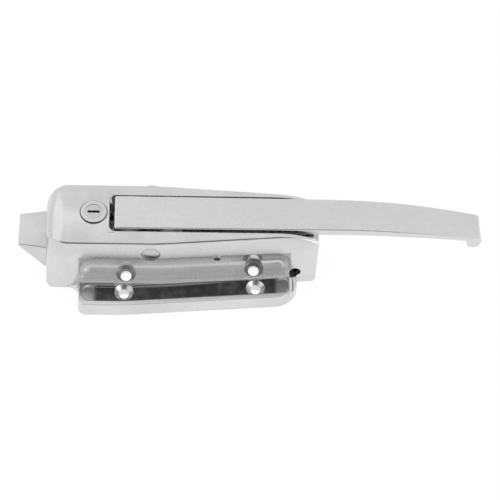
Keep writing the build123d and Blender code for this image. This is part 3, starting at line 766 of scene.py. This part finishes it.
@dataclass
class SpringBolt(Assembly):
    """Bevelled bolt whose nose gets rounded edges."""

    finishes: dict[str, Finish] = field(default_factory=lambda: {"trigger_bolt": BOLT})
    nose_end: float = -97.3 * MM
    nose_round: float = 1.5 * MM
    nose_segments: int = 4
    sharp: float = 20.0
    flat: float = 2.0
    smooth_below: float = 35.0

    def refine(self) -> None:
        """Rounds the nose's edges on a copy that stands for the bolt's solid."""
        bolt = merged_copy("trigger_bolt")
        bpy.ops.object.mode_set(mode="EDIT")
        bpy.ops.mesh.select_all(action="SELECT")
        bpy.ops.mesh.dissolve_limited(angle_limit=math.radians(self.flat))
        bpy.ops.mesh.select_all(action="DESELECT")
        bpy.ops.mesh.select_mode(type="EDGE")
        bpy.ops.mesh.edges_select_sharp(sharpness=math.radians(self.sharp))
        bpy.ops.object.mode_set(mode="OBJECT")
        points = bolt.data.vertices
        for edge in bolt.data.edges:
            ends = [points[i].co for i in edge.vertices]
            edge.select = edge.select and min(p.x for p in ends) < self.nose_end
        bpy.ops.object.mode_set(mode="EDIT")
        bpy.ops.mesh.bevel(offset=self.nose_round, segments=self.nose_segments,
                           affect="EDGES", clamp_overlap=True)
        bpy.ops.object.mode_set(mode="OBJECT")
        smooth(bolt, self.smooth_below)
        self.keep(bolt, "bolt_refined", BOLT, "bolt", "bolt_casting")
        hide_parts("trigger_bolt")


@dataclass
class Springs(Assembly):
    """Bolt spring, wound anew from round wire, and the lever's return spring."""

    finishes: dict[str, Finish] = field(default_factory=lambda: {"return_spring": SPRING})
    start_x: float = -5.05 * MM
    length: float = 44.9 * MM
    axis_y: float = 37.6 * MM
    axis_z: float = 11.0 * MM
    mean_radius: float = 5.6 * MM
    wire_radius: float = 0.8 * MM
    coils: int = 8
    wire_sides: int = 12
    steps: int = 36
    squeezed: float = 0.695
    pivot: tuple[float, float] = (-27.8 * MM, 35.7 * MM)
    coil_start: float = 30.9 * MM
    coil_end: float = 26.6 * MM
    smooth_below: float = 65.0

    def wind(self) -> None:
        """Winds the bolt spring with a screw modifier and ties it to the housing."""
        pick_nothing()
        bpy.ops.mesh.primitive_circle_add(
            vertices=self.wire_sides, radius=self.wire_radius, fill_type="NGON",
            location=(self.mean_radius, 0, 0), rotation=(math.radians(90), 0, 0))
        wire = bpy.context.object
        bake_place(wire)
        screw = wire.modifiers.new("wind", "SCREW")
        screw.axis = "Z"
        screw.angle = math.radians(360)
        screw.iterations = self.coils
        screw.screw_offset = self.length / self.coils
        screw.steps = screw.render_steps = self.steps
        screw.use_merge_vertices = False
        apply_modifiers(wire)
        turn_outwards()
        wire.rotation_euler = (0, math.radians(90), 0)
        wire.location = (self.start_x, self.axis_y, self.axis_z)
        bake_place(wire)
        smooth(wire)
        self.keep(wire, "bolt_spring_wire", SPRING, "housing", "spring_steel")
        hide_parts("bolt_spring")
        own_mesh(wire)

    def twist(self) -> None:
        """Puts a smoothed copy of the return spring, in spring wire, in place of the imported one.
        """
        spring = merged_copy("return_spring")
        smooth(spring, self.smooth_below)
        spring.name = spring.data.name = "return_spring_wire"
        spring.data.materials.clear()
        spring.data.materials.append(MATERIALS[SPRING.name])
        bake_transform(spring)
        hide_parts("return_spring")
        LOG.info("%s: %d faces between housing and lever",
                 spring.name, len(spring.data.polygons))


@dataclass
class KeyLock(Assembly):
    """Lock case, plug, wafers and cam."""

    finishes: dict[str, Finish] = field(default_factory=lambda: {
        "lock_housing": CASE, "lock_plug": PLUG, "lock_wafers": BRASS, "lock_nut": PLATED,
        "lock_cam": PLATED, "cam_washer": PLATED, "cam_screw": PLATED,
    })


@dataclass(frozen=True)
class Lamp:
    """A soft square lamp: its name, place, side in metres and power in watts."""

    name: str
    place: tuple[float, float, float]
    side: float
    power: float


@dataclass
class Studio:
    """Floor, world, lamps and camera."""

    lens: float = 137.1
    elevation: float = 57.235
    turn: float = -4.983
    roll: float = 4.980
    camera_at: tuple[float, float, float] = (-0.02120, -0.70172, 1.15637)
    world_level: float = 0.90
    room_tone: float = 0.16
    floor_size: float = 6.0
    floor_at: tuple[float, float, float] = (0.04, 0.02, -0.00005)
    floor_tone: float = 0.82
    floor_glow: float = 1.05
    floor_share: float = 0.9
    aim: tuple[float, float, float] = (0.03, 0.03, 0.02)
    lamps: tuple[Lamp, ...] = (Lamp("key", (-0.9, 0.6, 1.2), 1.5, 1.5),
                               Lamp("side", (1.1, -0.5, 0.7), 0.6, 1.2))

    def view_axes(self) -> tuple[Vector, Vector, Vector]:
        """Right, up and back directions of the camera.

        Returns:
            The three directions.
        """
        e, a, r = (math.radians(v) for v in (self.elevation, self.turn, self.roll))
        back = Vector((math.sin(a) * math.cos(e), -math.cos(a) * math.cos(e), math.sin(e)))
        right = Vector((math.cos(a), math.sin(a), 0.0))
        up = back.cross(right)
        rolled = right * math.cos(r) + up * math.sin(r)
        return rolled, up * math.cos(r) - right * math.sin(r), back

    def set_camera(self) -> None:
        """Makes the camera."""
        data = bpy.data.cameras.new("view_camera")
        data.lens = self.lens
        data.sensor_width = 36.0
        camera = bpy.data.objects.new("view_camera", data)
        bpy.context.scene.collection.objects.link(camera)
        right, up, back = self.view_axes()
        turn = Matrix((right, up, back)).transposed().to_4x4()
        camera.matrix_world = Matrix.Translation(self.camera_at) @ turn
        bpy.context.scene.camera = camera

    def set_world(self) -> None:
        """Pale surround with a darker room behind the camera, white for the camera."""
        world = bpy.data.worlds.new("studio")
        bpy.context.scene.world = world
        graph = Graph(world)
        place = Signal(graph, graph.node("ShaderNodeTexCoord").outputs["Generated"])
        back = self.view_axes()[2]
        facing = graph.node("ShaderNodeVectorMath", {"operation": "DOT_PRODUCT"},
                            {0: place, 1: tuple(back)})
        toward = Signal(graph, facing.outputs["Value"])
        room = toward.between(0.80, 0.97)
        surround = graph.mix(room, WHITE, (self.room_tone,) * 3 + (1.0,))
        seen = graph.rays("Is Camera Ray", "Is Transmission Ray")
        studio = graph.node("ShaderNodeBackground", inputs={0: surround, 1: self.world_level})
        white = graph.node("ShaderNodeBackground", inputs={0: WHITE, 1: 1.0})
        graph.close("ShaderNodeOutputWorld", graph.mix_shaders(seen, studio, white))

    def set_floor(self) -> None:
        """Pale floor that keeps a faint shadow."""
        pick_nothing()
        bpy.ops.mesh.primitive_plane_add(size=self.floor_size, location=self.floor_at)
        floor = bpy.context.object
        floor.name = "floor"
        material = bpy.data.materials.new("floor")
        graph = Graph(material)
        tone = (self.floor_tone,) * 3 + (1.0,)
        matt = graph.node("ShaderNodeBsdfDiffuse", inputs={"Color": tone})
        glow = graph.node("ShaderNodeEmission",
                          inputs={"Color": WHITE, "Strength": self.floor_glow})
        seen = graph.rays("Is Camera Ray", "Is Transmission Ray", "Is Glossy Ray")
        graph.close("ShaderNodeOutputMaterial",
                    graph.mix_shaders(seen * self.floor_share, matt, glow))
        floor.data.materials.append(material)

    def add_lamp(self, lamp: Lamp) -> None:
        """Adds a lamp that faces the latch."""
        data = bpy.data.lights.new(lamp.name, "AREA")
        data.size = lamp.side
        data.energy = lamp.power
        light = bpy.data.objects.new(lamp.name, data)
        bpy.context.scene.collection.objects.link(light)
        light.location = lamp.place
        aim = Vector(self.aim) - Vector(lamp.place)
        light.rotation_euler = aim.to_track_quat("-Z", "Y").to_euler()

    def light(self) -> None:
        """Adds the lamps and sets the view transform."""
        for lamp in self.lamps:
            self.add_lamp(lamp)
        bpy.context.scene.view_settings.view_transform = "Standard"


FINISHES = (CASTING, LEVER, BOLT, PIN, SPRING, PLATED, BLACK, CASE, PLUG, BRASS)
MATERIALS: dict[str, bpy.types.Material] = {}


def main() -> None:
    """Builds the groups in order and then the studio."""
    logging.basicConfig(level=logging.INFO, format="%(message)s")
    MATERIALS.update({finish.name: finish.make() for finish in FINISHES})
    housing, springs, bolt = Housing(), Springs(), SpringBolt()
    for group in (housing, PullLever(), bolt, springs, KeyLock()):
        group.dress()
    housing.refine()
    bolt.refine()
    springs.wind()
    springs.twist()
    studio = Studio()
    studio.set_camera()
    studio.set_world()
    studio.set_floor()
    studio.light()


if __name__ == "__main__":
    main()
